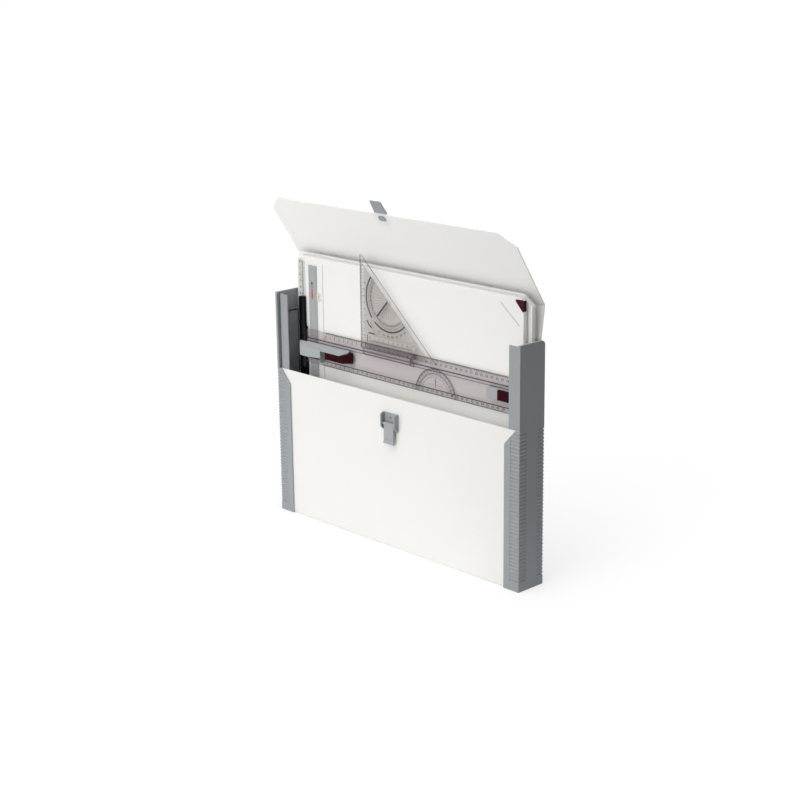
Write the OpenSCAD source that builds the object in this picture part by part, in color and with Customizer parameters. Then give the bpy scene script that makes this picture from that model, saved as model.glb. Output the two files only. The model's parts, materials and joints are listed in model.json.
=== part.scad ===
// Portfolio case for a drawing board: a folded white sheet body held by two ribbed end
// mouldings, a folding lid with a tongue and a lever clasp, and the drawing board with its
// parallel rule and set square that slides up and down between the end mouldings.
// Millimetres. X runs to the right, Y to the back, Z up. The case stands on Z = 0, and X = 0
// and Y = 0 are the middle of its width and depth. Outlines below are drawn from the front
// plane of the case, and in_middle() moves them back by half the depth.

/* [Case] */
// Outer width over the end mouldings
case_w = 515; // [420:1:640]
// Outer depth, front to back
case_d = 51; // [45:0.5:70]
// Height of the end mouldings
case_h = 358; // [300:1:450]
// Height of the front panel
panel_h = 236; // [150:1:300]
// Thickness of the folded sheet
sheet_t = 1.6; // [1:0.1:3]
// Gap between the sheet and the clamping flanges
slot_gap = 0.1; // [0.05:0.05:0.3]
// Outer radius of the bends at the bottom of the sheet
bend_r = 2.6; // [1.8:0.1:6]

/* [End mouldings] */
// Thickness of the side wall
wall_t = 4; // [2.5:0.1:6]
// Thickness of the front and rear flanges
flange_t = 2; // [1.2:0.1:3]
// Width of the flanges, from the outer side
flange_w = 29; // [20:0.5:45]
// Rise of the slanted upper end of the flanges
flare_h = 22; // [10:0.5:35]
// Width left at the top of the slanted end
flare_w = 9; // [6:0.5:15]
// Width of the inner lips, from the outer side
lip_w = 24; // [15:0.5:35]
// Drop of the inner lips below the top of the wall
lip_drop = 3; // [1:0.5:10]
// Spacing of the grip ribs
rib_pitch = 5.4; // [3:0.1:10]
// Height of the grip ribs, flush with the moulding in a shallow recess
rib_h = 0.8; // [0.3:0.1:1.2]
// Width of one grip rib at its foot
rib_w = 3.4; // [2:0.1:4.5]
// Number of grip ribs on each corner
rib_n = 40; // [10:1:60]
// Reach of the ribs across the flange
rib_face = 17.5; // [10:0.5:22]
// Reach of the ribs round onto the side
rib_wrap = 14; // [3:0.5:20]
// Radius of the rear top corner of the moulding
top_r = 7; // [2:0.5:15]

/* [Guides] */
// Height of the inner guides
guide_h = 324; // [250:1:325]
// Distance of the guide plates from the middle
guide_x = 249.2; // [200:0.1:252]
// Front edge of the guides
guide_y0 = 20; // [10:0.5:22]
// Rear edge of the guides
guide_y1 = 38; // [30:0.5:44]

/* [Lid] */
// Half width of the lid
lid_hw = 252.7; // [200:0.1:256]
// Height of the rear hinge line
hinge_z = 359; // [300:0.5:452]
// Backward lean of the opened top strip in degrees
strip_lean = 8; // [0:1:20]
// Forward lean of the opened flap in degrees
flap_lean = 33; // [0:1:60]
// Length of the flap from the crease
flap_len = 126.5; // [90:0.5:160]
// Length of the straight side of the flap
flap_side = 105; // [70:0.5:140]
// Sideways size of the cut corners of the flap
flap_cut = 26; // [5:0.5:50]
// Width of the tongue
tongue_w = 23; // [12:0.5:26]
// Reach of the tongue from the crease
tongue_end = 148.5; // [140:0.5:155]

/* [Clasp] */
// Outer width of the clasp
clasp_w = 31; // [20:0.5:45]
// Height of the top of the clasp
clasp_top = 212; // [200:0.5:230]
// Height of the clasp body
clasp_h = 26.5; // [24:0.5:40]
// Reach of the cheeks in front of the case
clasp_out = 6.5; // [6:0.5:9]
// Width of the lever
lever_w = 20.5; // [12:0.5:25]
// Height of the lower end of the lever
lever_end = 165; // [140:0.5:180]

/* [Drawing board] */
// Left edge of the board
board_x0 = -229.5; // [-245:0.5:-200]
// Width of the board
board_w = 470.5; // [400:0.5:485]
// Height of the board
board_h = 297; // [250:0.5:340]
// Thickness of the board
board_t = 7.2; // [4:0.1:9]
// Front face of the board
board_y = 24.5; // [22:0.1:28]
// Height by which the board is pulled out of the case
board_lift = 118.2; // [0:0.1:150]
// Front face of the backing behind the board
backing_y = 33.2; // [32:0.1:34]
// Thickness of the backing
backing_t = 7.2; // [4:0.1:7.6]
// Clearance between the lowered board and the case floor
floor_gap = 0.15; // [0.1:0.05:5]
// Left edge of the paper clamp
clamp_x0 = -204.2; // [-215:0.1:-190]
// Width of the paper clamp
clamp_w = 18.5; // [10:0.1:30]

/* [Parallel rule] */
// Left end of the rule blade
rule_x0 = -212; // [-215:0.5:-209.5]
// Right end of the rule blade
rule_x1 = 226; // [200:0.5:235]
// Lower edge of the rule blade
rule_z0 = 250; // [200:0.5:300]
// Width of the rule blade
rule_h = 53.5; // [40:0.5:70]
// Thickness of the rule blade in the middle
rule_t = 2.4; // [1.5:0.1:4]
// Thickness of the rule blade at its edges
rule_edge_t = 1.4; // [0.8:0.1:2]

/* [Set square] */
// Upright edge of the set square
square_x = -80; // [-110:0.5:-60]
// Base of the set square
square_z = 296; // [285:0.5:305]
// Length of the base
square_w = 158.5; // [100:0.5:180]
// Height of the set square
square_h = 144.6; // [100:0.1:150]
// Thickness of the set square
square_t = 1.5; // [1:0.1:3]

/* [Hidden] */
$fn = 48;

SHEET_COLOUR = [0.95, 0.95, 0.94];
GREY = [0.55, 0.58, 0.61];
LIGHT_GREY = [0.66, 0.68, 0.70];
SMOKE = [0.55, 0.51, 0.53];
DARK_SMOKE = [0.36, 0.33, 0.35];
MAROON = [0.30, 0.14, 0.17];
STEEL = [0.75, 0.76, 0.78];

half_w = case_w / 2;
wall_x = half_w - wall_t;
sheet_hw = wall_x - 0.5;
panel_y0 = flange_t + slot_gap;
back_y1 = case_d - flange_t - slot_gap;
hinge_y = back_y1 - sheet_t / 2;
lip_y0 = panel_y0 + sheet_t + slot_gap;
// closed, the flap hangs in a recess just in front of the front panel
flap_y = panel_y0 - 0.2 - sheet_t / 2;
strip_len = hinge_y - flap_y;
crease_y = hinge_y + strip_len * sin(strip_lean);
crease_z = hinge_z + strip_len * cos(strip_lean);
cap_t = 2;
lip_h = case_h - lip_drop;
slot_d = 6;
slot_w = 3.4;
ledge = 4;
rib_z = 16;
bead_r = sheet_t / 2;
rivet_r = 118;
board_z0 = cap_t + floor_gap + board_lift;
board_z1 = board_z0 + board_h;
board_x1 = board_x0 + board_w;
rule_back = board_y - 1.8;
rule_front = rule_back - rule_t;
rule_z1 = rule_z0 + rule_h;
head_x = -223.5;
head_w = 14.5;
head_y = rule_front - 1.4;
cheek_t = (clasp_w - 26) / 2;
pivot_y = -2.9;
pivot_z = 195.6;
pin_r = 1;
square_y = rule_front - 1.6 - square_t;
square_tip = 2.8;
lock_slope = 0.45;
// height at which the sloped top of the left lock would meet the front plane
lock_top = 273.2;

// from a frame with Y = 0 on the front plane to one with Y = 0 in the middle of the depth
module in_middle() {
    translate([0, -case_d / 2, 0]) children();
}

// a prism with a Y-Z outline, centred on X = 0
module along_x(len) {
    rotate([90, 0, 90]) linear_extrude(len, center = true) children();
}

// a plate with an X-Z outline, from Y = y0 to the back
module upright(y0, t) {
    translate([0, y0 + t, 0]) rotate([90, 0, 0]) linear_extrude(t) children();
}

// moves a part modelled in the plane of the flap, upright at the crease, to its open place
module on_flap() {
    translate([0, crease_y, crease_z]) rotate([flap_lean, 0, 0]) children();
}

module sheet_profile() {
    difference() {
        hull() {
            translate([panel_y0 + bend_r, bend_r]) circle(bend_r);
            translate([back_y1 - bend_r, bend_r]) circle(bend_r);
            translate([panel_y0, hinge_z]) square([back_y1 - panel_y0, 1]);
        }
        hull() {
            translate([panel_y0 + bend_r, bend_r]) circle(bend_r - sheet_t);
            translate([back_y1 - bend_r, bend_r]) circle(bend_r - sheet_t);
            translate([panel_y0 + sheet_t, hinge_z]) square([back_y1 - panel_y0 - 2 * sheet_t, 2]);
        }
        // the front panel stops low, the back panel just under the hinge bead
        translate([-1, panel_h]) square([case_d / 2, case_h]);
        translate([-1, hinge_z - bead_r - 0.05]) square([case_d + 2, case_h]);
    }
}

module shell_sheet() {
    color(SHEET_COLOUR) in_middle()
    difference() {
        along_x(2 * sheet_hw) sheet_profile();
        // the floor ends between the end mouldings
        for (s = [-1, 1])
            translate([s * (half_w - flange_w + 19.9) - 20, 0, -1]) cube([40, case_d, cap_t + 2]);
    }
}

module flange_outline() {
    polygon([
        [half_w - flange_w, 0], [half_w, 0], [half_w, panel_h],
        [half_w - flare_w, panel_h], [half_w - flange_w, panel_h - flare_h]
    ]);
}

module side_outline() {
    hull() {
        square([case_d, 1]);
        translate([0, case_h - 1]) square([1, 1]);
        translate([case_d - top_r, case_h - top_r]) circle(top_r);
    }
}

module rib_section() {
    polygon([[rib_h + 0.1, 0], [0, rib_w * 0.3], [0, rib_w * 0.7], [rib_h + 0.1, rib_w]]);
}

// one rib round the front outer corner
module grip_rib() {
    translate([half_w - rib_face, 0, 0]) rotate([90, 0, 90]) linear_extrude(rib_face)
        rib_section();
    translate([half_w, rib_wrap, 0]) rotate([90, 0, 0]) linear_extrude(rib_wrap)
        mirror([1, 0]) rib_section();
}

// the shallow recess that holds the ribs
module rib_recess() {
    z1 = rib_z + rib_n * rib_pitch;
    translate([half_w - rib_face, -1, rib_z - 2]) cube([rib_face + 1, rib_h + 1, z1 - rib_z + 2]);
    translate([half_w - rib_h, -1, rib_z - 2]) cube([2, rib_wrap + 1, z1 - rib_z + 2]);
}

module on_both_corners() {
    children();
    translate([0, case_d, 0]) mirror([0, 1, 0]) children();
}

// inner lip in front of the channel, set off the side wall by a narrow slot
module lip() {
    x1 = wall_x - slot_w;
    translate([half_w - lip_w, lip_y0, 0]) cube([x1 - half_w + lip_w, flange_t, lip_h]);
    translate([x1 - flange_t, lip_y0, 0]) cube([flange_t, slot_d, lip_h]);
    translate([x1 - flange_t, lip_y0 + slot_d - flange_t, 0])
        cube([slot_w + flange_t + 0.5, flange_t, lip_h]);
}

module moulding() {
    difference() {
        union() {
            // side wall
            translate([wall_x, 0, 0]) rotate([90, 0, 90]) linear_extrude(wall_t) side_outline();
            // front and rear flanges
            upright(0, flange_t) flange_outline();
            upright(case_d - flange_t, flange_t) flange_outline();
        }
        on_both_corners() rib_recess();
    }
    on_both_corners() lip();
    // ledge on the inside, above the guide
    translate([wall_x - ledge, 12, guide_h + 3.2]) cube([ledge + 0.5, 29, 1.4]);
    // end cap
    translate([half_w - flange_w, 0, 0]) cube([flange_w, case_d, cap_t]);
    intersection() {
        on_both_corners() for (i = [0 : rib_n - 1])
            translate([0, 0, rib_z + i * rib_pitch]) grip_rib();
        // the ribs end on the slanted ends of the flanges
        upright(0, case_d) flange_outline();
    }
}

module moulding_right() {
    color(GREY) in_middle() moulding();
}

module moulding_left() {
    color(GREY) in_middle() mirror([1, 0, 0]) moulding();
}

module guide() {
    t = 2;
    difference() {
        translate([guide_x, guide_y0, cap_t]) cube([wall_x - guide_x, guide_y1 - guide_y0, guide_h - cap_t]);
        translate([guide_x + t, guide_y0 + t, cap_t - 1])
            cube([20, guide_y1 - guide_y0 - 2 * t, guide_h]);
        // rounded front top corner
        translate([0, guide_y0 + 5, guide_h - 5]) rotate([0, 90, 0]) difference() {
            translate([-6, -6, 0]) cube([6, 6, half_w]);
            cylinder(r = 5, h = 3 * half_w, center = true);
        }
    }
}

module guide_right() {
    color(GREY) in_middle() guide();
}

module guide_left() {
    color(GREY) in_middle() mirror([1, 0, 0]) guide();
}

module top_strip() {
    color(SHEET_COLOUR) in_middle()
    translate([0, hinge_y, hinge_z]) rotate([-strip_lean, 0, 0]) {
        along_x(2 * lid_hw) circle(bead_r);
        translate([-lid_hw, -sheet_t / 2, 0])
            cube([2 * lid_hw, sheet_t, strip_len - bead_r - 0.05]);
    }
}

module lid_flap() {
    color(SHEET_COLOUR) in_middle()
    on_flap() difference() {
        union() {
            along_x(2 * lid_hw) circle(bead_r);
            upright(-sheet_t / 2, sheet_t) polygon([
                [-lid_hw, 0], [lid_hw, 0], [lid_hw, flap_side], [lid_hw - flap_cut, flap_len],
                [-lid_hw + flap_cut, flap_len], [-lid_hw, flap_side]
            ]);
        }
        translate([0, 0, rivet_r]) rotate([-90, 0, 0]) cylinder(r = 2.1, h = 10, center = true);
    }
}

module tongue_outline() {
    w = tongue_w / 2;
    // wider where it is riveted on
    polygon([
        [-w - 1.5, 104], [w + 1.5, 104], [w + 1.5, flap_len + 2], [w, tongue_end - 7],
        [w, tongue_end - 2], [w - 2, tongue_end], [-w + 2, tongue_end],
        [-w, tongue_end - 2], [-w, tongue_end - 7], [-w - 1.5, flap_len + 2]
    ]);
}

// on the outer face of the flap; the outer face points to the back while the lid is open
module lid_tongue() {
    color(GREY) in_middle()
    on_flap() difference() {
        upright(sheet_t / 2, 1.5) tongue_outline();
        translate([0, 0, rivet_r]) rotate([-90, 0, 0]) cylinder(r = 2.1, h = 10, center = true);
    }
}

module tongue_rivet() {
    color(GREY) in_middle()
    on_flap() translate([0, 0, rivet_r]) rotate([-90, 0, 0]) {
        // oval washer on the inner face
        translate([0, 0, -sheet_t / 2 - 0.9]) linear_extrude(0.9) hull()
            for (s = [-1, 1]) translate([3 * s, 0]) circle(4.4);
        translate([0, 0, -sheet_t / 2 - 0.5]) cylinder(r = 2.05, h = sheet_t + 2.2);
        translate([0, 0, sheet_t / 2 + 1.5]) cylinder(r1 = 4, r2 = 3, h = 1);
    }
}

module flap_studs() {
    color(SHEET_COLOUR) in_middle()
    on_flap() for (s = [-1, 1])
        translate([160 * s, -sheet_t / 2, 20]) rotate([90, 0, 0]) cylinder(r1 = 1.8, r2 = 1.4, h = 0.6);
}

module cheek_outline() {
    polygon([
        [panel_y0, clasp_top - clasp_h], [panel_y0, clasp_top], [-clasp_out + 3, clasp_top],
        [-clasp_out, clasp_top - 3], [-clasp_out, pivot_z - 4],
        [-clasp_out + 2, pivot_z - 7], [-1, clasp_top - clasp_h]
    ]);
}

module clasp_base() {
    plate_t = panel_y0 - 0.45;
    color(GREY) in_middle()
    difference() {
        union() {
            translate([-clasp_w / 2, panel_y0 - plate_t, clasp_top - clasp_h])
                cube([clasp_w, plate_t, clasp_h]);
            for (s = [-1, 1])
                translate([s * (clasp_w - cheek_t) / 2, 0, 0]) along_x(cheek_t) cheek_outline();
        }
        translate([0, pivot_y, pivot_z]) rotate([0, 90, 0])
            cylinder(r = pin_r + 0.05, h = clasp_w + 2, center = true);
        translate([0, 0, clasp_top - 7]) rotate([90, 0, 0]) cylinder(r = 2.2, h = 10, center = true);
    }
}

module clasp_rivet() {
    color(STEEL) in_middle()
    translate([0, panel_y0, clasp_top - 7]) rotate([90, 0, 0])
        cylinder(r = 2.1, h = 1.2);
}

module clasp_pin() {
    color(STEEL) in_middle()
    translate([0, pivot_y, pivot_z]) rotate([0, 90, 0])
        cylinder(r = pin_r, h = clasp_w, center = true);
}

module lever_outline() {
    y0 = pivot_y;
    difference() {
        union() {
            translate([y0, pivot_z]) circle(2.3);
            polygon([
                [y0 - 1.1, pivot_z], [y0 + 1.5, pivot_z], [y0 + 1.2, lever_end + 4],
                [y0, lever_end], [y0 - 2.6, lever_end + 0.4], [y0 - 1.6, lever_end + 5]
            ]);
            // square-edged bar round the pin
            translate([y0 - 2.3, pivot_z - 1.2]) square([3, 3]);
        }
        translate([y0, pivot_z]) circle(pin_r + 0.05);
    }
}

module clasp_lever() {
    color(LIGHT_GREY) in_middle() {
        difference() {
            along_x(lever_w) lever_outline();
            // finger grooves near the lower end
            for (i = [0, 1])
                translate([-lever_w / 2 + 2, pivot_y - 4, lever_end + 5 + 3 * i])
                    cube([lever_w - 4, 2.9, 1]);
        }
        // the bar reaches almost from cheek to cheek
        for (s = [-1, 1]) translate([s * (lever_w / 2 + 1.1), pivot_y, pivot_z])
            rotate([0, 90, 0]) difference() {
                cylinder(r = 1.8, h = 2.4, center = true);
                cylinder(r = pin_r + 0.05, h = 3, center = true);
            }
    }
}

module drawing_board() {
    color(SHEET_COLOUR) in_middle()
    difference() {
        upright(board_y, board_t) translate([board_x0, board_z0]) offset(r = 9) offset(delta = -9)
            square([board_w, board_h]);
        // grooves on both sides of the paper clamp
        for (x = [clamp_x0 - 10.6, clamp_x0 + clamp_w + 12.5])
            translate([x, board_y - 1, board_z0 + 8]) cube([1.2, 1.6, board_h - 16]);
        // slanted groove near the upper right corner
        upright(board_y - 1, 1.5) polygon([
            [board_x1 - 44.2, board_z1 - 10.6], [board_x1 - 43, board_z1 - 10],
            [board_x1 - 6, board_z1 - 40], [board_x1 - 7, board_z1 - 41]
        ]);
    }
}

// a padded back with cut corners, joined to the board by a narrower core; its rear upper edge
// is sloped so that the lid can fold past it
module board_backing() {
    z1 = board_z1 + 4;
    hw = guide_x - 0.3;
    cut = 16;
    back = board_y + board_t;
    color(SHEET_COLOUR) in_middle() {
        difference() {
            intersection() {
                upright(backing_y, backing_t) polygon([
                    [-hw, board_z0], [hw, board_z0], [hw, z1 - cut], [hw - cut, z1],
                    [-hw + cut, z1], [-hw, z1 - cut]
                ]);
                along_x(case_w) polygon([
                    [backing_y, 0], [backing_y + backing_t, 0],
                    [backing_y + backing_t, z1 - 11.4],
                    [backing_y + backing_t - 4.2, z1 + 0.2], [backing_y, z1 + 0.2]
                ]);
            }
            // bevel along the left edge, so that only its rear runs in the guide
            translate([-hw, backing_y, 0]) linear_extrude(z1 + 5)
                polygon([[-1.05, 7.26], [12.1, -1], [-1.05, -1]]);
        }
        translate([board_x0 + 8, back, board_z0 + 5])
            cube([board_w - 14, backing_y - back + 0.5, board_h - 15]);
    }
}

module scale_strip() {
    color(SHEET_COLOUR) in_middle()
    translate([board_x0 + 1.5, board_y - 0.5, board_z0 + 6]) cube([11, 0.5, board_h - 12]);
}

module clamp_bar() {
    t = 1.5;
    color(LIGHT_GREY) in_middle()
    translate([clamp_x0, 0, board_z0 + 8]) linear_extrude(board_h - 21) polygon([
        [0, board_y], [0, board_y - t + 0.5], [0.5, board_y - t],
        [clamp_w - 4, board_y - t], [clamp_w, board_y - 0.5], [clamp_w, board_y]
    ]);
}

module clamp_clip() {
    x = clamp_x0 + clamp_w;
    color(SHEET_COLOUR) in_middle()
    translate([x, board_y - 1.2, 350]) difference() {
        cube([7, 1.2, 12]);
        translate([3, -1, 4]) cube([5, 3, 4]);
    }
}

// a rubber corner that reaches round the side of the board
module corner_insert() {
    color(MAROON) in_middle()
    difference() {
        upright(board_y - 0.6, 5.8) hull() {
            translate([board_x1 - 13, board_z1 - 4.5]) circle(1.5);
            translate([board_x1 - 1.9, board_z1 - 5]) circle(2.5);
            translate([board_x1 - 0.9, board_z1 - 17.5]) circle(1.5);
        }
        translate([board_x1 - 40, board_y, board_z1 - 40]) cube([40, 20, 60]);
    }
}

module rule_blade() {
    f = rule_front;
    e = rule_back - rule_edge_t;
    color(SMOKE) in_middle()
    translate([rule_x0, 0, 0]) rotate([90, 0, 90]) linear_extrude(rule_x1 - rule_x0) polygon([
        [rule_back, rule_z0], [rule_back, rule_z1], [e, rule_z1], [e, rule_z1 - 12.5],
        [f - 0.3, rule_z1 - 13], [f - 0.3, rule_z1 - 14.4], [f, rule_z1 - 14.6],
        [f, rule_z1 - 18.6], [f + 0.5, rule_z1 - 19], [f + 0.5, rule_z0 + 9.2],
        [f, rule_z0 + 9], [f, rule_z0 + 7.6], [e, rule_z0 + 7.2], [e, rule_z0]
    ]);
}

module rule_head() {
    color(DARK_SMOKE) in_middle()
    difference() {
        upright(head_y, rule_back + 1.1 - head_y) translate([head_x, rule_z0 - 53])
            offset(r = 3) offset(delta = -3) square([head_w, 157]);
        // the rule blade passes through the lower layer
        translate([rule_x0 - 0.1, rule_front - 0.4, rule_z0 - 0.1])
            cube([head_w, rule_t + 5, rule_h + 0.2]);
        // narrow upper part
        translate([head_x + head_w - 3, 0, rule_z1 + 3]) cube([10, 60, 60]);
    }
}

// what lies under a plane that has height z at the front and rises to the back
module under_slope(z) {
    polygon([[0, 200], [30, 200], [30, z + 30 * lock_slope], [0, z]]);
}

module handle_plan() {
    polygon([
        [-221, head_y], [-221, head_y - 3], [-214, 10.5], [-204, 8.2], [-190, 7.6], [-119.5, 7.6],
        [-109, 16.5], [-109, rule_front], [-208, rule_front], [-208, head_y]
    ]);
}

// an arm whose right half is a thin plate over the left lock, sloped to the front
module rule_handle() {
    color(LIGHT_GREY) in_middle()
    difference() {
        intersection() {
            translate([0, 0, 255]) linear_extrude(40) handle_plan();
            along_x(case_w) under_slope(lock_top + 2);
        }
        // room for the lock under the right half
        translate([60 - 163.5, 0, 0]) along_x(120) under_slope(lock_top + 0.2);
        // the underside rises to the right
        upright(0, 60) polygon([
            [-225, 250], [-163, 250], [-164, 266], [-190, 263.5], [-225, 262]
        ]);
    }
}

module lock_left() {
    y0 = 8.4;
    color(MAROON) in_middle()
    difference() {
        intersection() {
            translate([0, 0, 265.6]) linear_extrude(20) polygon([
                [-154.5, y0 + 1], [-153.5, y0], [-114.5, y0], [-113, y0 + 0.7],
                [-101.5, rule_front - 1], [-101.5, rule_front + 0.3], [-154.5, rule_front + 0.3]
            ]);
            along_x(case_w) under_slope(lock_top);
        }
        // grip notches
        for (i = [0 : 6]) translate([-147 + i * 4.6, y0 - 1, 255]) cube([1.4, 1.9, 30]);
        translate([-160, y0 - 1, 270.4]) cube([44, 1.8, 1.2]);
    }
}

module head_right() {
    color(LIGHT_GREY) in_middle()
    upright(rule_front - 2.6, 3.1) translate([177.6, 267])
        offset(r = 2.5) offset(delta = -2.5) square([46.4, 17.3]);
}

module lock_right() {
    color(MAROON) in_middle()
    translate([201.8, rule_front - 6, 268.4]) difference() {
        cube([21.4, 3.3, 15]);
        for (i = [0 : 2]) translate([5 + i * 5, -1, -1]) cube([1.4, 1.8, 20]);
    }
}

module set_square() {
    color(SMOKE) in_middle()
    upright(square_y, square_t) difference() {
        // a triangle with a blunt tip
        polygon([
            [square_x, square_z], [square_x + square_w, square_z],
            [square_x + square_w * square_tip / square_h, square_z + square_h - square_tip],
            [square_x, square_z + square_h - square_tip]
        ]);
        // finger hole in the corner of the square
        translate([square_x + 19, square_z + 38]) circle(3.2);
    }
}

// a grooved grip that hooks over the upper edge of the rule and holds the set square
module square_slider() {
    z0 = 287;
    z1 = 298;
    color(DARK_SMOKE) in_middle() {
        translate([-74.5, 0, 0]) rotate([90, 0, 90]) linear_extrude(102) polygon([
            [rule_front - 0.5, z0], [rule_front - 0.5, square_z - 0.3],
            [square_y, square_z - 0.3], [square_y, z1], [square_y - 1.8, z1],
            [square_y - 2.6, z1 - 1], [square_y - 2.6, z1 - 4.2], [square_y - 1.6, z1 - 5],
            [square_y - 2.6, z1 - 5.8], [square_y - 2.6, z0 + 1.5], [square_y - 1.6, z0]
        ]);
        translate([-70, square_y - 1, z1 - 0.5]) cube([104.5, 1, rule_z1 + 0.8 - z1]);
    }
}

// spring clip at the right end of the grip
module slider_clip() {
    color(DARK_SMOKE) in_middle()
    upright(square_y - 3.2, 2) polygon([
        [28, 287], [36, 285.8], [36, 291], [32.5, 294.5], [38.5, 299], [38.5, 304.8],
        [33, 304.8], [33, 300.5], [28, 297]
    ]);
}

shell_sheet();
moulding_left();
moulding_right();
guide_left();
guide_right();
top_strip();
lid_flap();
lid_tongue();
tongue_rivet();
flap_studs();
clasp_base();
clasp_rivet();
clasp_lever();
clasp_pin();
drawing_board();
board_backing();
scale_strip();
clamp_bar();
clamp_clip();
corner_insert();
rule_blade();
rule_head();
rule_handle();
lock_left();
head_right();
lock_right();
set_square();
square_slider();
slider_clip();
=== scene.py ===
"""Looks of an upright drawing-board case with its parallel rule and set square.

Metres, +X to the right, +Y to the back, +Z up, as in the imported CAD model. Printed marks are
measured in millimetres and scaled when their mesh is made.
"""

import json
import math

import bpy
from mathutils import Matrix, Vector


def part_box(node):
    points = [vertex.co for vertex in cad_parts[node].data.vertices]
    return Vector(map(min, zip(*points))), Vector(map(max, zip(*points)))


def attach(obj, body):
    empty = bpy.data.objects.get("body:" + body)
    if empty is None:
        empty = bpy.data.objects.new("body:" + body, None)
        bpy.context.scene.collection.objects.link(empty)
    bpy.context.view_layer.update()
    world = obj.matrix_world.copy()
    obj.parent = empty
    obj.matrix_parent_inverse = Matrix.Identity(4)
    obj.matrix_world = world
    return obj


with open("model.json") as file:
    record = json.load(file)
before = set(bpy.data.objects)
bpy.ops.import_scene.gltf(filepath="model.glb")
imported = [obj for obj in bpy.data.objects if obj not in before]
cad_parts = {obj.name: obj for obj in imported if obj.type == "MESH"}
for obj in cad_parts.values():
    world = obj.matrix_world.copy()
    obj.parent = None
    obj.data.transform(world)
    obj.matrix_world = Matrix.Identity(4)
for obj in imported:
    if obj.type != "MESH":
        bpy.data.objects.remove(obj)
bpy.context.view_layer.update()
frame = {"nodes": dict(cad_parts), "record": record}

MM = 0.001


# ---------------------------------------------------------------- shader helpers


def add(tree, kind, inputs=None, **settings):
    """A new shader node; inputs holds plain values or sockets to link."""
    node = tree.nodes.new("ShaderNode" + kind)
    for key, value in settings.items():
        setattr(node, key, value)
    for key, value in (inputs or {}).items():
        if isinstance(value, bpy.types.NodeSocket):
            tree.links.new(value, node.inputs[key])
        else:
            node.inputs[key].default_value = value
    return node


def new_material(name):
    material = bpy.data.materials.new(name)
    material.use_nodes = True
    material.node_tree.nodes.clear()
    return material, material.node_tree


def finish_material(tree, shader):
    add(tree, "OutputMaterial", {"Surface": shader.outputs[0]})


def noise(tree, size, detail, stretch=(1, 1, 1)):
    """Noise whose features are about size metres wide, in the object's own frame."""
    place = add(tree, "TexCoord").outputs["Object"]
    scaled = add(tree, "Mapping", {"Vector": place, "Scale": stretch}).outputs[0]
    return add(
        tree, "TexNoise", {"Vector": scaled, "Scale": 1 / size, "Detail": detail}
    ).outputs["Fac"]


def between(tree, fac, low, high, start=0.0, end=1.0):
    """A value that goes from low to high while fac goes from start to end."""
    return add(
        tree,
        "MapRange",
        {
            "Value": fac,
            "From Min": start,
            "From Max": end,
            "To Min": low,
            "To Max": high,
        },
    ).outputs[0]


def mixed(tree, fac, first, second):
    """Colour that goes from first to second with fac."""
    node = add(tree, "Mix", {"Factor": fac}, data_type="RGBA")
    for socket, value in ((node.inputs[6], first), (node.inputs[7], second)):
        if isinstance(value, bpy.types.NodeSocket):
            tree.links.new(value, socket)
        else:
            socket.default_value = (*value, 1)
    return node.outputs[2]


def product(tree, first, second):
    return add(tree, "Math", {0: first, 1: second}, operation="MULTIPLY").outputs[0]


def relief(tree, height, depth, strength):
    """The normal of a surface with the relief height, depth millimetres deep."""
    bump = add(tree, "Bump", {"Height": height, "Distance": depth * MM, "Strength": strength})
    return bump.outputs[0]


def shade(colour, factor):
    return tuple(min(1.0, c * factor) for c in colour)


def edge_mask(tree, radius):
    """1 on the object's edges and 0 on its flat faces."""
    rounded = add(tree, "Bevel", {"Radius": radius}, samples=4).outputs[0]
    flat = add(tree, "NewGeometry").outputs["Normal"]
    same = add(
        tree, "VectorMath", {0: rounded, 1: flat}, operation="DOT_PRODUCT"
    ).outputs["Value"]
    return between(tree, same, 1.0, 0.0, 0.75, 0.99)


def plastic(
    name, colour, spread, roughness, grain, depth, wear=0.0, scuff=0.0, mirror=0.3, milky=0.0
):
    """Moulded or rolled plastic. grain and depth are the surface texture's size in mm.

    spread is how far the colour varies, wear lightens the edges in patches, as wear and as a
    painted highlight where edges catch light, scuff adds rough streaks and milky is the share of
    light that scatters a few millimetres below the surface.
    """
    material, tree = new_material(name)
    clouds = noise(tree, 0.11, 3)
    base = mixed(tree, clouds, shade(colour, 1 - spread), shade(colour, 1 + spread))
    speckle = noise(tree, 0.004, 4)
    base = mixed(tree, between(tree, speckle, 0, 0.35, 0.45, 0.75), base, shade(colour, 1 - spread))
    rough = between(tree, clouds, roughness - 0.06, roughness + 0.08)
    if scuff:
        marks = between(tree, noise(tree, 0.012, 5, (1, 1, 0.08)), 0, scuff, 0.6, 0.72)
        base = mixed(tree, marks, base, shade(colour, 0.72))
        rough = add(tree, "Math", {0: rough, 1: marks}, operation="ADD").outputs[0]
    if wear:
        # painted highlight and wear: the edges are lightened in patches, as wear and where moulded
        # edges catch light
        edges = edge_mask(tree, 0.7 * MM)
        patches = between(tree, noise(tree, 0.01, 3), 0.4, 1.0, 0.35, 0.6)
        worn_and_lit_edges = product(tree, product(tree, edges, patches), wear)
        base = mixed(tree, worn_and_lit_edges, base, shade(colour, 1.6))
    shader = add(
        tree,
        "BsdfPrincipled",
        {
            "Base Color": base,
            "Roughness": rough,
            "Normal": relief(tree, noise(tree, grain * MM, 3), depth, 0.6),
            "Specular IOR Level": mirror,
            "Subsurface Weight": milky,
            "Subsurface Radius": (1.0, 0.98, 0.94),
            "Subsurface Scale": 6 * MM,
        },
    )
    finish_material(tree, shader)
    return material


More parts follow.
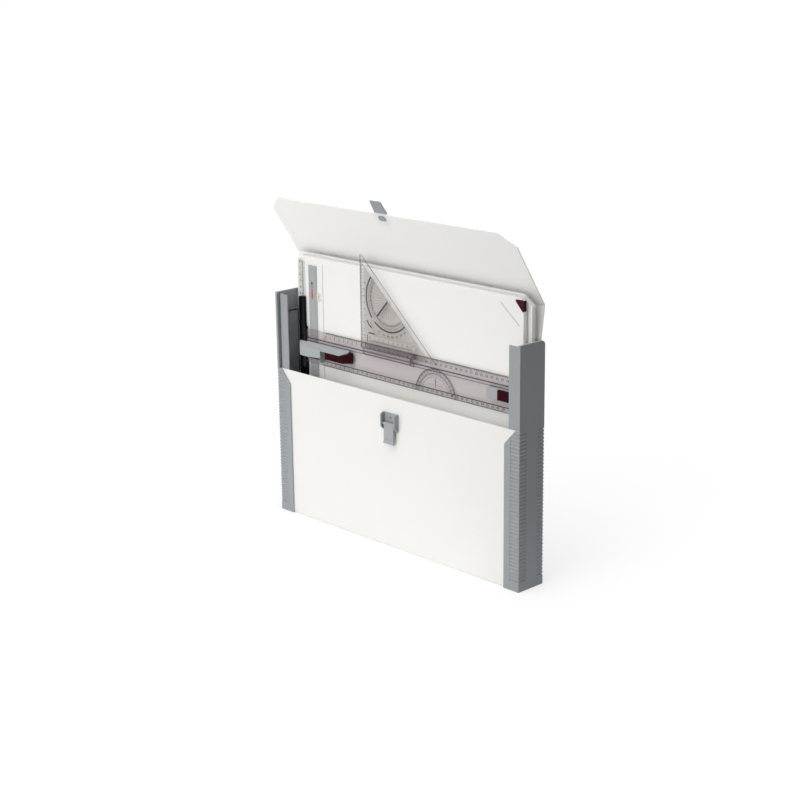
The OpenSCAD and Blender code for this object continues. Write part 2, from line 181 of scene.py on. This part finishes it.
def brushed_steel(name):
    """Steel with fine upright strokes."""
    material, tree = new_material(name)
    strokes = noise(tree, 0.0012, 4, (1, 1, 0.05))
    # painted shade: the strokes are far darker than bare steel, standing in for the shadow in the
    # clasp's rivet hole
    base = mixed(tree, strokes, (0.16, 0.165, 0.17), (0.30, 0.31, 0.32))
    shader = add(
        tree,
        "BsdfPrincipled",
        {
            "Base Color": base,
            "Metallic": 1.0,
            "Roughness": between(tree, strokes, 0.25, 0.42),
            "Normal": relief(tree, strokes, 0.01, 0.5),
        },
    )
    finish_material(tree, shader)
    return material


def acrylic(name, tint, haze=0.04, strip=None, index=1.45):
    """See-through plastic; tint is what one of its surfaces lets through.

    haze is the share of dust in it. strip gives a clearer band as (point, normal, width, tint):
    the band lies between the plane through point and the same plane moved back by width along
    normal. A lower index than that of acrylic mirrors less.
    """
    material, tree = new_material(name)
    clouds = noise(tree, 0.05, 3)
    through = mixed(tree, clouds, shade(tint, 0.98), shade(tint, 1.01))
    if strip:
        point, normal, width, clear = strip
        place = add(tree, "TexCoord").outputs["Object"]
        along = add(tree, "VectorMath", {0: place, 1: normal}, operation="DOT_PRODUCT")
        limit = point.dot(normal) - width
        inside = between(tree, along.outputs["Value"], 0, 1, limit, limit + 0.4 * MM)
        through = mixed(tree, inside, through, clear)
    # painted shade: cut edges, which face sideways, up or down, get a darker tint than the faces
    turned = add(tree, "SeparateXYZ", {"Vector": add(tree, "NewGeometry").outputs["Normal"]})
    facing = add(tree, "Math", {0: turned.outputs["Y"]}, operation="ABSOLUTE").outputs[0]
    through = mixed(tree, between(tree, facing, 1, 0, 0.3, 0.65), through, shade(tint, 0.5))
    scratches = noise(tree, 0.002, 4, (0.1, 1, 1))
    glass = add(tree, "BsdfTransparent", {"Color": through})
    dust = add(tree, "BsdfDiffuse", {"Color": (0.5, 0.48, 0.5, 1)})
    dusty = between(tree, clouds, haze * 0.5, haze * 1.5)
    body = add(tree, "MixShader", {0: dusty, 1: glass.outputs[0], 2: dust.outputs[0]})
    gloss = add(
        tree,
        "BsdfGlossy",
        {"Color": (1, 1, 1, 1), "Roughness": between(tree, scratches, 0.05, 0.2)},
    )
    # light that leaves the plastic isn't bent here, so only its outer side mirrors
    outside = between(tree, add(tree, "NewGeometry").outputs["Backfacing"], 1, 0)
    mirror = add(tree, "Fresnel", {"IOR": index}).outputs[0]
    share = product(tree, mirror, outside)
    finish_material(
        tree, add(tree, "MixShader", {0: share, 1: body.outputs[0], 2: gloss.outputs[0]})
    )
    return material


def ink(name, colour):
    """Printing ink, a little uneven; it also serves for painted shadows and highlights."""
    material, tree = new_material(name)
    wear = noise(tree, 0.0015, 3)
    base = mixed(tree, wear, shade(colour, 0.85), shade(colour, 1.25))
    rough = between(tree, wear, 0.45, 0.65)
    normal = relief(tree, wear, 0.005, 0.4)
    shader = add(
        tree, "BsdfPrincipled", {"Base Color": base, "Roughness": rough, "Normal": normal}
    )
    finish_material(tree, shader)
    return material


# ---------------------------------------------------------------- printed marks and painted shade

# how far ink stands off a face, and the same for single thin lines
INK_PROUD, INK_THIN = 0.05, 0.04
# how far ink reaches into a front face, and its gap to a clear sheet
INK_SUNK, INK_GAP = 0.02, 0.01
# degrees of arc from one point of a printed arc to the next
ARC_STEP = 3
# widths of millimetre marks and of the longer ones at 5 and 10 mm
FINE, FIRM = 0.34, 0.5


def polar(centre, radius, degrees):
    """The point that lies radius away from centre, in the direction degrees."""
    turned = math.radians(degrees)
    return (centre[0] + radius * math.cos(turned), centre[1] + radius * math.sin(turned))


def division(i, lengths, widths=(FINE, FIRM)):
    """(length, width) of mark i of a millimetre scale.

    lengths are those of the marks at 1, 5 and 10 mm, and widths those at 1 mm and at the others.
    """
    rank = 2 if i % 10 == 0 else 1 if i % 5 == 0 else 0
    return lengths[rank], widths[min(rank, 1)]


def glyph(character):
    """Outline mesh of one numeral of unit height: points (x, y) and faces."""
    curve = bpy.data.curves.new("numeral", "FONT")
    curve.body = character
    curve.resolution_u = 2
    curve.offset = 0.02
    holder = bpy.data.objects.new("numeral", curve)
    bpy.context.scene.collection.objects.link(holder)
    mesh = bpy.data.meshes.new_from_object(holder)
    points = [(v.co.x, v.co.y) for v in mesh.vertices]
    faces = [tuple(p.vertices) for p in mesh.polygons]
    bpy.data.objects.remove(holder)
    bpy.data.meshes.remove(mesh)
    bpy.data.curves.remove(curve)
    height = max(y for _, y in points)
    return [(x / height, y / height) for x, y in points], faces


NUMERALS = {c: glyph(c) for c in "0123456789"}
NUMERAL_STEP = 0.86


class Print:
    """Thin marks in an upright plane between y0 and y1, as closed prisms, in millimetres."""

    def __init__(self, y0, y1):
        self.y0, self.y1 = y0, y1
        self.points, self.faces = [], []

    def plate(self, points, faces):
        """A flat mesh in X-Z, given a thickness."""
        n, start = len(points), len(self.points)
        self.points += [(x, self.y0, z) for x, z in points]
        self.points += [(x, self.y1, z) for x, z in points]
        edges = {}
        for face in faces:
            self.faces.append(tuple(start + i for i in face))
            self.faces.append(tuple(start + n + i for i in reversed(face)))
            for a, b in zip(face, face[1:] + face[:1]):
                edges[(a, b)] = edges.get((a, b), 0) + 1
        for a, b in edges:
            if (b, a) not in edges:
                self.faces.append((start + b, start + a, start + n + a, start + n + b))

    def outline(self, points):
        self.plate(points, [tuple(range(len(points)))])

    def line(self, a, b, width):
        """A straight mark from a to b."""
        along = Vector((b[0] - a[0], b[1] - a[1])).normalized() * width / 2
        side = (-along.y, along.x)
        self.outline(
            [
                (a[0] - side[0], a[1] - side[1]),
                (b[0] - side[0], b[1] - side[1]),
                (b[0] + side[0], b[1] + side[1]),
                (a[0] + side[0], a[1] + side[1]),
            ]
        )

    def ray(self, centre, degrees, r0, r1, width):
        """A straight mark that points away from centre."""
        self.line(polar(centre, r0, degrees), polar(centre, r1, degrees), width)

    def arc(self, centre, radius, start, end, width):
        """Part of a ring round centre, from start to end degrees."""
        count = max(2, round(abs(end - start) / ARC_STEP))
        angles = [start + (end - start) * i / count for i in range(count + 1)]
        rings = (radius + width / 2, radius - width / 2)
        points = [polar(centre, r, angle) for r in rings for angle in angles]
        self.plate(points, [(i, i + 1, i + count + 2, i + count + 1) for i in range(count)])

    def number(self, value, centre, height, turn=0.0):
        """A whole number, centred, height tall and turned by turn degrees."""
        text = str(value)
        c, s = math.cos(math.radians(turn)), math.sin(math.radians(turn))
        for i, character in enumerate(text):
            points, faces = NUMERALS[character]
            shift = (i - len(text) / 2) * NUMERAL_STEP
            placed = []
            for x, y in points:
                u, v = (x + shift) * height, (y - 0.5) * height
                placed.append((centre[0] + u * c - v * s, centre[1] + u * s + v * c))
            self.plate(placed, faces)

    def piece(self, name, body, slot, material):
        """Makes the Blender object, which rides on body."""
        mesh = bpy.data.meshes.new(name)
        mesh.from_pydata([[c * MM for c in p] for p in self.points], [], self.faces)
        mesh.validate()
        mesh.update()
        mesh.materials.append(material)
        made = bpy.data.objects.new(name, mesh)
        bpy.context.scene.collection.objects.link(made)
        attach(made, body)


def front_print(face, proud=INK_PROUD):
    """Ink on a front face, sunk a little into it; painted shadows are laid on the same way."""
    return Print(face - proud, face + INK_SUNK)


def clear_print(face, side):
    """Ink, painted shade or painted highlight just off a clear sheet; side is 1 for its rear face
    and -1 for its front face.
    """
    return Print(*sorted((face + side * INK_GAP, face + side * INK_PROUD)))


def box_mm(node):
    """(lowest corner, highest corner) of a CAD node, in millimetres."""
    low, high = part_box(node)
    return low / MM, high / MM


# ---------------------------------------------------------------- materials of the CAD nodes

# height that the set square's blunt tip is short of the pointed triangle, and the width of
# the clear strip along its long side, in millimetres
TIP_CUT = 2.8
STRIP_WIDTH = 9.6
square_low, square_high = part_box("set_square")
long_side = Vector(
    (square_high.x - square_low.x, 0, square_low.z - square_high.z - TIP_CUT * MM)
)
outward = Vector((-long_side.z, 0, long_side.x)).normalized()
square_corner = Vector((square_high.x, square_low.y, square_low.z))

# what the white sheets share, and the surface texture that small mouldings share
ROLLED_SHEET = {"spread": 0.012, "roughness": 0.45, "grain": 1.3, "depth": 0.012, "scuff": 0.03}
FINE_GRAIN = {"grain": 0.4, "depth": 0.015}
WHITE_SHEET = plastic("white_sheet", (0.885, 0.877, 0.845), **ROLLED_SHEET, milky=0.5)
WHITE_BOARD = plastic(
    "white_board",
    (0.875, 0.868, 0.835),
    spread=0.012,
    roughness=0.6,
    grain=0.5,
    depth=0.01,
    milky=0.6,
)
GREY_PLASTIC = plastic(
    "grey_plastic",
    (0.316, 0.338, 0.354),
    spread=0.05,
    roughness=0.5,
    grain=0.45,
    depth=0.02,
    wear=0.25,
    scuff=0.05,
)
LIGHT_GREY_PLASTIC = plastic(
    "light_grey_plastic", (0.37, 0.39, 0.40), spread=0.04, roughness=0.45, wear=0.2, **FINE_GRAIN
)
MAROON_PLASTIC = plastic(
    "maroon_plastic",
    (0.055, 0.010, 0.015),
    spread=0.1,
    roughness=0.5,
    wear=0.15,
    mirror=0.05,
    **FINE_GRAIN,
)
SMOKY_ACRYLIC = acrylic("smoky_acrylic", (0.90, 0.882, 0.892))
DARK_ACRYLIC = acrylic("dark_acrylic", (0.85, 0.82, 0.835), haze=0.05)
STEEL_WITH_PAINTED_SHADE = brushed_steel("steel")
HEAD_ACRYLIC = acrylic("head_acrylic", (0.08, 0.06, 0.075), haze=0.003, index=1.2)
SLIDER_ACRYLIC = acrylic("slider_acrylic", (0.95, 0.91, 0.93), haze=0.05)
SQUARE_ACRYLIC = acrylic(
    "square_acrylic",
    (0.898, 0.881, 0.875),
    haze=0.03,
    strip=(square_corner, outward, STRIP_WIDTH * MM, (0.985, 0.982, 0.98)),
)
IVORY_PLASTIC = plastic(
    "ivory_plastic", (0.74, 0.69, 0.57), spread=0.03, roughness=0.5, grain=0.4, depth=0.01
)
LOCK_PLASTIC = plastic(
    "lock_plastic", (0.034, 0.005, 0.009), spread=0.1, roughness=0.55, mirror=0.04, **FINE_GRAIN
)
# painted shade: the shell's sheet is a darker copy of the white sheet, which stands in for dimmer
# light on it
SHADED_SHELL_SHEET = plastic("shaded_shell_sheet", (0.83, 0.822, 0.795), **ROLLED_SHEET)
# the finish of each material slot in the record, and of the nodes that differ from their slot
MATERIALS = {
    "white_sheet": WHITE_SHEET,
    "white_board": WHITE_BOARD,
    "grey_plastic": GREY_PLASTIC,
    "light_grey_plastic": LIGHT_GREY_PLASTIC,
    "maroon_plastic": MAROON_PLASTIC,
    "smoky_acrylic": SMOKY_ACRYLIC,
    "dark_acrylic": DARK_ACRYLIC,
    "steel": STEEL_WITH_PAINTED_SHADE,
}
SPECIAL = {
    "shell_sheet": SHADED_SHELL_SHEET,
    "clamp_clip": IVORY_PLASTIC,
    "lock_left": LOCK_PLASTIC,
    "lock_right": LOCK_PLASTIC,
    "set_square": SQUARE_ACRYLIC,
    "rule_head": HEAD_ACRYLIC,
    "square_slider": SLIDER_ACRYLIC,
}
BLACK_INK = ink("black_ink", (0.012, 0.009, 0.012))
PURPLE_INK = ink("purple_ink", (0.05, 0.028, 0.055))
WHITE_INK_AND_HIGHLIGHT = ink("white_ink_and_highlight", (0.75, 0.75, 0.73))
RED_INK = ink("red_ink", (0.55, 0.06, 0.03))
GROOVE_SHADOW = ink("groove_shadow", (0.30, 0.29, 0.27))

# how far edges are rounded, in millimetres
USUAL_RADIUS = 0.25
EDGE_RADIUS = {
    "shell_sheet": 0.35,
    "moulding_left": 0.3,
    "moulding_right": 0.3,
    "drawing_board": 0.4,
    "rule_handle": 0.7,
    "lock_left": 0.5,
    "lock_right": 0.5,
    "clasp_base": 0.35,
    "clasp_lever": 0.35,
}


def soften(node, radius):
    """Rounds the sharp edges of a CAD node by radius millimetres."""
    weld = node.modifiers.new("weld", "WELD")
    weld.merge_threshold = 0.005 * MM
    bevel = node.modifiers.new("soft_edges", "BEVEL")
    bevel.width = radius * MM
    bevel.segments = 2
    bevel.limit_method = "ANGLE"
    bevel.angle_limit = math.radians(35)
    bevel.use_clamp_overlap = True
    bevel.harden_normals = True


for subpart in frame["record"]["subparts"]:
    name = subpart["node"]
    cad_node = frame["nodes"][name]
    finish = MATERIALS[subpart["material_slot"]]
    cad_node.data.materials.clear()
    cad_node.data.materials.append(SPECIAL.get(name, finish))
    soften(cad_node, EDGE_RADIUS.get(name, USUAL_RADIUS))


# ---------------------------------------------------------------- marks on the parallel rule

# centimetres on each of the rule's two scales
RULE_CM = 38


def cm_scale(marks, x0, z0, side, lengths, row):
    """Millimetre marks from z0 towards side (+1 up, -1 down), with a number at each cm.

    lengths holds those of the 1, 5 and 10 mm marks; row is how far the numbers stand off.
    """
    for i in range(RULE_CM * 10 + 1):
        length, width = division(i, lengths, (0.4, 0.6))
        x = x0 + i
        marks.line((x, z0), (x, z0 + side * length), width)
        if i % 10 == 0:
            marks.number(i // 10, (x, z0 + side * row), 3.4)


def protractor(marks, centre, radius, start, end):
    """Degree marks and numbers inside an arc."""
    for degree in range(0, end - start + 1, 2):
        angle = start + degree
        length, width = (4.2, 1.0) if degree % 10 == 0 else (2.2, 0.45)
        marks.ray(centre, angle, radius - length, radius, width)
        if degree % 10 == 0 and 0 < degree < end - start:
            marks.number(degree, polar(centre, radius - 7, angle), 3.0, angle - 90)


def rule_marks():
    """Two scales and a protractor on the rear face of the blade."""
    low, high = box_mm("rule_blade")
    marks = clear_print(high.y, 1)
    top_start, bottom_start, line_end = low.x + 46.2, low.x + 38, high.x - 0.5
    cm_scale(marks, top_start, high.z - 0.4, -1, (2.2, 3.0, 3.8), 6.6)
    cm_scale(marks, bottom_start, low.z + 0.4, 1, (1.0, 1.3, 1.7), 4.0)
    marks.line((top_start - 1, high.z - 0.45), (line_end, high.z - 0.45), 0.7)
    marks.line((bottom_start - 1, low.z + 0.4), (line_end, low.z + 0.4), 0.5)
    # half-circle protractor that stands on the lower edge
    middle, radius = low.x + 284, 41
    centre = (middle, low.z - 3)
    marks.arc(centre, radius, 5, 175, 0.9)
    marks.arc(centre, radius - 12, 14, 166, 0.35)
    protractor(marks, centre, radius, 5, 175)
    # its upright line and a broken line across
    marks.line((middle, low.z + 11.5), (middle, low.z + 24.3), 1.2)
    across, dash, pitch = low.z + 14, 1.5, 3
    for side in (-1, 1):
        for i in range(4):
            start = middle + side * pitch * (1 + i)
            marks.line((start, across), (start + side * dash, across), 0.5)
    marks.piece("rule_scale", "rule", "dark_acrylic", BLACK_INK)


def rule_lines():
    """Purple lines on the raised beads of the blade."""
    low, high = box_mm("rule_blade")
    # the uppermost bead stands further out than the two below it
    lower_by = 0.3
    lines = front_print(low.y, INK_THIN)
    lines.line((low.x, high.z - 13.7), (high.x, high.z - 13.7), 1.3)
    beads = front_print(low.y + lower_by, INK_THIN)
    beads.line((low.x, high.z - 18.1), (high.x, high.z - 18.1), 0.9)
    beads.line((low.x, low.z + 8.3), (high.x, low.z + 8.3), 1.3)
    lines.piece("rule_line", "rule", "dark_acrylic", PURPLE_INK)
    beads.piece("rule_beads", "rule", "dark_acrylic", PURPLE_INK)


# ---------------------------------------------------------------- marks on the set square


def edge_scale(dark, low, high):
    """Millimetres up the set square's straight edge."""
    for i in range(1, 126):
        length, width = division(i, (2.4, 3.4, 4.5))
        z = low.z + i
        dark.line((low.x + 0.5, z), (low.x + 0.5 + length, z), width)
        if i % 10 == 0 and i < 110:
            dark.number(i // 10, (low.x + 7.3, z), 2.8)
    dark.line((low.x + 0.35, low.z), (low.x + 0.35, high.z - 1), 0.6)


def tilted_protractor(dark, light, low):
    """Half circle beside the clear strip, with its straight side along the strip."""
    centre, tilt = (low.x + 60, low.z + 80.5), -42.4
    first, last = 180 + tilt + 3, 180 + tilt + 177
    middle = 270 + tilt
    # the slot round the rim is drawn as painted shade arcs, with painted highlight arcs along their
    # edges
    dark.arc(centre, 48, first, middle - 7, 2.7)
    dark.arc(centre, 48, middle + 3, last, 2.7)
    light.arc(centre, 45.5, first, middle - 7, 1.2)
    light.arc(centre, 50.6, middle + 3, last, 1.2)
    for degree in range(5, 176, 5):
        angle = 180 + tilt + degree
        dark.ray(centre, angle, 42, 44.5, 0.7)
        if degree % 10 == 0:
            dark.number(degree, polar(centre, 38.5, angle), 3.4, angle - 90)
            dark.ray(centre, angle, 12, 30, 0.35)
        if 100 < degree < 175 and degree % 10 == 0:
            dark.number(180 - degree, polar(centre, 55, angle), 3.0, angle - 90)
    dark.ray(centre, middle, 4, 38, 3.2)
    # short curved slot, drawn as a painted shade arc with a painted highlight arc beside it
    dark.arc(centre, 60.5, middle - 10, middle + 4.5, 2.3)
    light.arc(centre, 58.6, middle - 10, middle + 4.5, 1.0)


def strip_lines(dark, low, high):
    """Lines along both sides of the clear strip, from the rule's upper edge to the tip."""
    run, rise = high.x - low.x, high.z - low.z + TIP_CUT
    side = math.hypot(run, rise)
    for inset, width in ((0.7, 0.7), (STRIP_WIDTH, 0.45)):
        foot = 1 - (8 + inset * run / side) / rise
        tip = (1.2 + inset * rise / side) / run
        ends = [
            (low.x + t * run - inset * rise / side, low.z + (1 - t) * rise - inset * run / side)
            for t in (foot, max(tip, TIP_CUT / rise))
        ]
        dark.line(*ends, width)


def base_scale(dark, light, ticks, low):
    """Small scale above the slider, on a white field."""
    dark.line((low.x + 13.2, low.z + 11), (low.x + 13.2, low.z + 21.5), 1.5)
    dark.line((low.x + 15, low.z + 24.8), (low.x + 29, low.z + 24.8), 2.0)
    left, right, bottom, top = low.x + 17.5, low.x + 114, low.z + 12.5, low.z + 21
    light.outline([(left, bottom), (right, bottom), (right, top), (left, top)])
    for i in range(91):
        length, width = division(i, (1.8, 2.8, 3.6))
        x = low.x + 20 + i
        ticks.line((x, low.z + 12.7), (x, low.z + 12.7 + length), width)
        if i % 10 == 0:
            ticks.number(i // 10, (x, low.z + 18.4), 2.6)


def square_marks():
    """Marks on the rear face of the set square, and the base scale's ticks on its front face."""
    low, high = box_mm("set_square")
    dark, light = clear_print(high.y, 1), clear_print(high.y, 1)
    ticks = clear_print(low.y, -1)
    edge_scale(dark, low, high)
    tilted_protractor(dark, light, low)
    strip_lines(dark, low, high)
    base_scale(dark, light, ticks, low)
    dark.piece("square_scale_and_slot_shade", "square", "dark_acrylic", BLACK_INK)
    light.piece("square_white_print_and_highlights", "square", "white_board", WHITE_INK_AND_HIGHLIGHT)
    ticks.piece("square_base_scale", "square", "dark_acrylic", BLACK_INK)


# ---------------------------------------------------------------- marks on the board


def board_marks():
    """Scale down the left edge of the board, numbered from the top."""
    low, high = box_mm("scale_strip")
    scale = front_print(low.y)
    margin = 4
    for i in range(int(high.z - low.z) - 2 * margin):
        z = high.z - margin - i
        length, width = division(i, (2.4, 3.4, 4.5))
        scale.line((high.x - 0.4 - length, z), (high.x - 0.4, z), width)
        if i % 10 == 0:
            scale.number(i // 10, (low.x + 3.3, z), 3.4)
    scale.piece("board_scale", "board", "dark_acrylic", BLACK_INK)


def clamp_marks():
    """A red pointer and a black arrow above it on the paper clamp."""
    low, high = box_mm("clamp_bar")
    middle = (low.x + high.x) / 2 - 1
    mark = front_print(low.y)
    top, tip, point = high.z - 36, high.z - 54, 5
    shoulder = tip + point
    mark.outline(
        [
            (middle - 1.2, top),
            (middle - 2.0, shoulder),
            (middle, tip),
            (middle + 2.0, shoulder),
            (middle + 1.2, top),
        ]
    )
    mark.piece("clamp_mark", "board", "maroon_plastic", RED_INK)
    arrow = front_print(low.y)
    tip = high.z - 24
    base = tip - point
    arrow.outline([(middle, tip), (middle - 2.4, base), (middle + 2.4, base)])
    arrow.line((middle, base), (middle, tip - 11), 1.2)
    arrow.piece("clamp_arrow", "board", "dark_acrylic", BLACK_INK)


def board_lines():
    """Painted shadows just above the bottoms of the board's grooves."""
    low, high = box_mm("drawing_board")
    clamp_low, clamp_high = box_mm("clamp_bar")
    sunk = 0.44
    lines = front_print(low.y + sunk, INK_THIN)
    for x in (clamp_low.x - 10, clamp_high.x + 13.1):
        lines.line((x, low.z + 9), (x, high.z - 9), 0.6)
    lines.line((high.x - 43.2, high.z - 10.8), (high.x - 6.7, high.z - 40.3), 0.7)
    lines.piece("board_lines", "board", "white_board", GROOVE_SHADOW)


rule_marks()
rule_lines()
square_marks()
board_marks()
clamp_marks()
board_lines()


# ---------------------------------------------------------------- stage, light and camera

# brightness of the floor and the background as the camera sees them
PALE = 0.97


def towards(azimuth, elevation):
    """Direction in radians from the object; azimuth 0 is the front and a quarter turn the right."""
    return Vector(
        (
            math.sin(azimuth) * math.cos(elevation),
            -math.cos(azimuth) * math.cos(elevation),
            math.sin(elevation),
        )
    )


def stage_floor():
    """A pale floor, which throws less light back at the object from the right than in front."""
    half = 60
    mesh = bpy.data.meshes.new("floor")
    corners = [(-half, -half, 0), (half, -half, 0), (half, half, 0), (-half, half, 0)]
    mesh.from_pydata(corners, [], [(0, 1, 2, 3)])
    material, tree = new_material("floor")
    seen = add(tree, "LightPath").outputs["Is Camera Ray"]
    place = add(tree, "TexCoord").outputs["Object"]
    across = add(tree, "SeparateXYZ", {"Vector": place}).outputs["X"]
    bounce = mixed(tree, between(tree, across, 0, 1, 0.15, 0.5), (0.93,) * 3, (0.3,) * 3)
    colour = mixed(tree, seen, bounce, (PALE,) * 3)
    paper = add(tree, "BsdfPrincipled", {"Base Color": colour, "Roughness": 0.9})
    # to the camera the floor glows as well, which keeps the shadow pale
    glow = add(tree, "Emission", {"Color": (PALE, PALE, PALE, 1)})
    glowing = between(tree, seen, 0, 0.6)
    finish_material(
        tree, add(tree, "MixShader", {0: glowing, 1: paper.outputs[0], 2: glow.outputs[0]})
    )
    mesh.materials.append(material)
    floor = bpy.data.objects.new("floor", mesh)
    bpy.context.scene.collection.objects.link(floor)


def soft_light(name, azimuth, elevation, spread, strength):
    """Even light from far away; azimuth 0 is the front and 90 the right, in degrees."""
    data = bpy.data.lights.new(name, "SUN")
    data.angle, data.energy = math.radians(spread), strength
    lamp = bpy.data.objects.new(name, data)
    bpy.context.scene.collection.objects.link(lamp)
    direction = towards(math.radians(azimuth), math.radians(elevation))
    lamp.rotation_euler = direction.to_track_quat("Z", "Y").to_euler()


def studio():
    """Soft light from above and from the front, with darker surroundings on the right."""
    world = bpy.data.worlds.new("studio")
    world.use_nodes = True
    tree = world.node_tree
    tree.nodes.clear()
    seen = add(tree, "LightPath").outputs["Is Camera Ray"]
    direction = add(tree, "TexCoord").outputs["Generated"]
    across = add(tree, "SeparateXYZ", {"Vector": direction}).outputs["X"]
    glow = between(tree, across, 0.22, 0.11, -1.0, 0.6)
    sky = add(tree, "Background", {"Strength": between(tree, seen, glow, PALE)})
    sky.inputs["Color"].default_value = (1, 1, 1, 1)
    finish = add(tree, "OutputWorld", {"Surface": sky.outputs[0]})
    finish.is_active_output = True
    bpy.context.scene.world = world
    soft_light("key", azimuth=-12, elevation=5, spread=40, strength=0.5)
    soft_light("front", azimuth=-4, elevation=33, spread=50, strength=0.92)
    soft_light("top", azimuth=-10, elevation=84, spread=70, strength=2.6)
    bpy.context.scene.view_settings.view_transform = "Standard"


def photo_camera():
    """Seen from the front right and a little above."""
    azimuth, elevation, roll = map(math.radians, (46.198, 15.758, -0.699))
    place = (1.747616, -1.681097, 0.91153)
    back = towards(azimuth, elevation)
    right = Vector((math.cos(azimuth), math.sin(azimuth), 0))
    up = back.cross(right)
    turned_right = math.cos(roll) * right + math.sin(roll) * up
    turned_up = math.cos(roll) * up - math.sin(roll) * right
    data = bpy.data.cameras.new("camera")
    data.sensor_width, data.lens = 36, 76.2
    camera = bpy.data.objects.new("camera", data)
    bpy.context.scene.collection.objects.link(camera)
    turn = Matrix((turned_right, turned_up, back)).transposed().to_4x4()
    camera.matrix_world = Matrix.Translation(place) @ turn
    bpy.context.scene.camera = camera


stage_floor()
studio()
photo_camera()
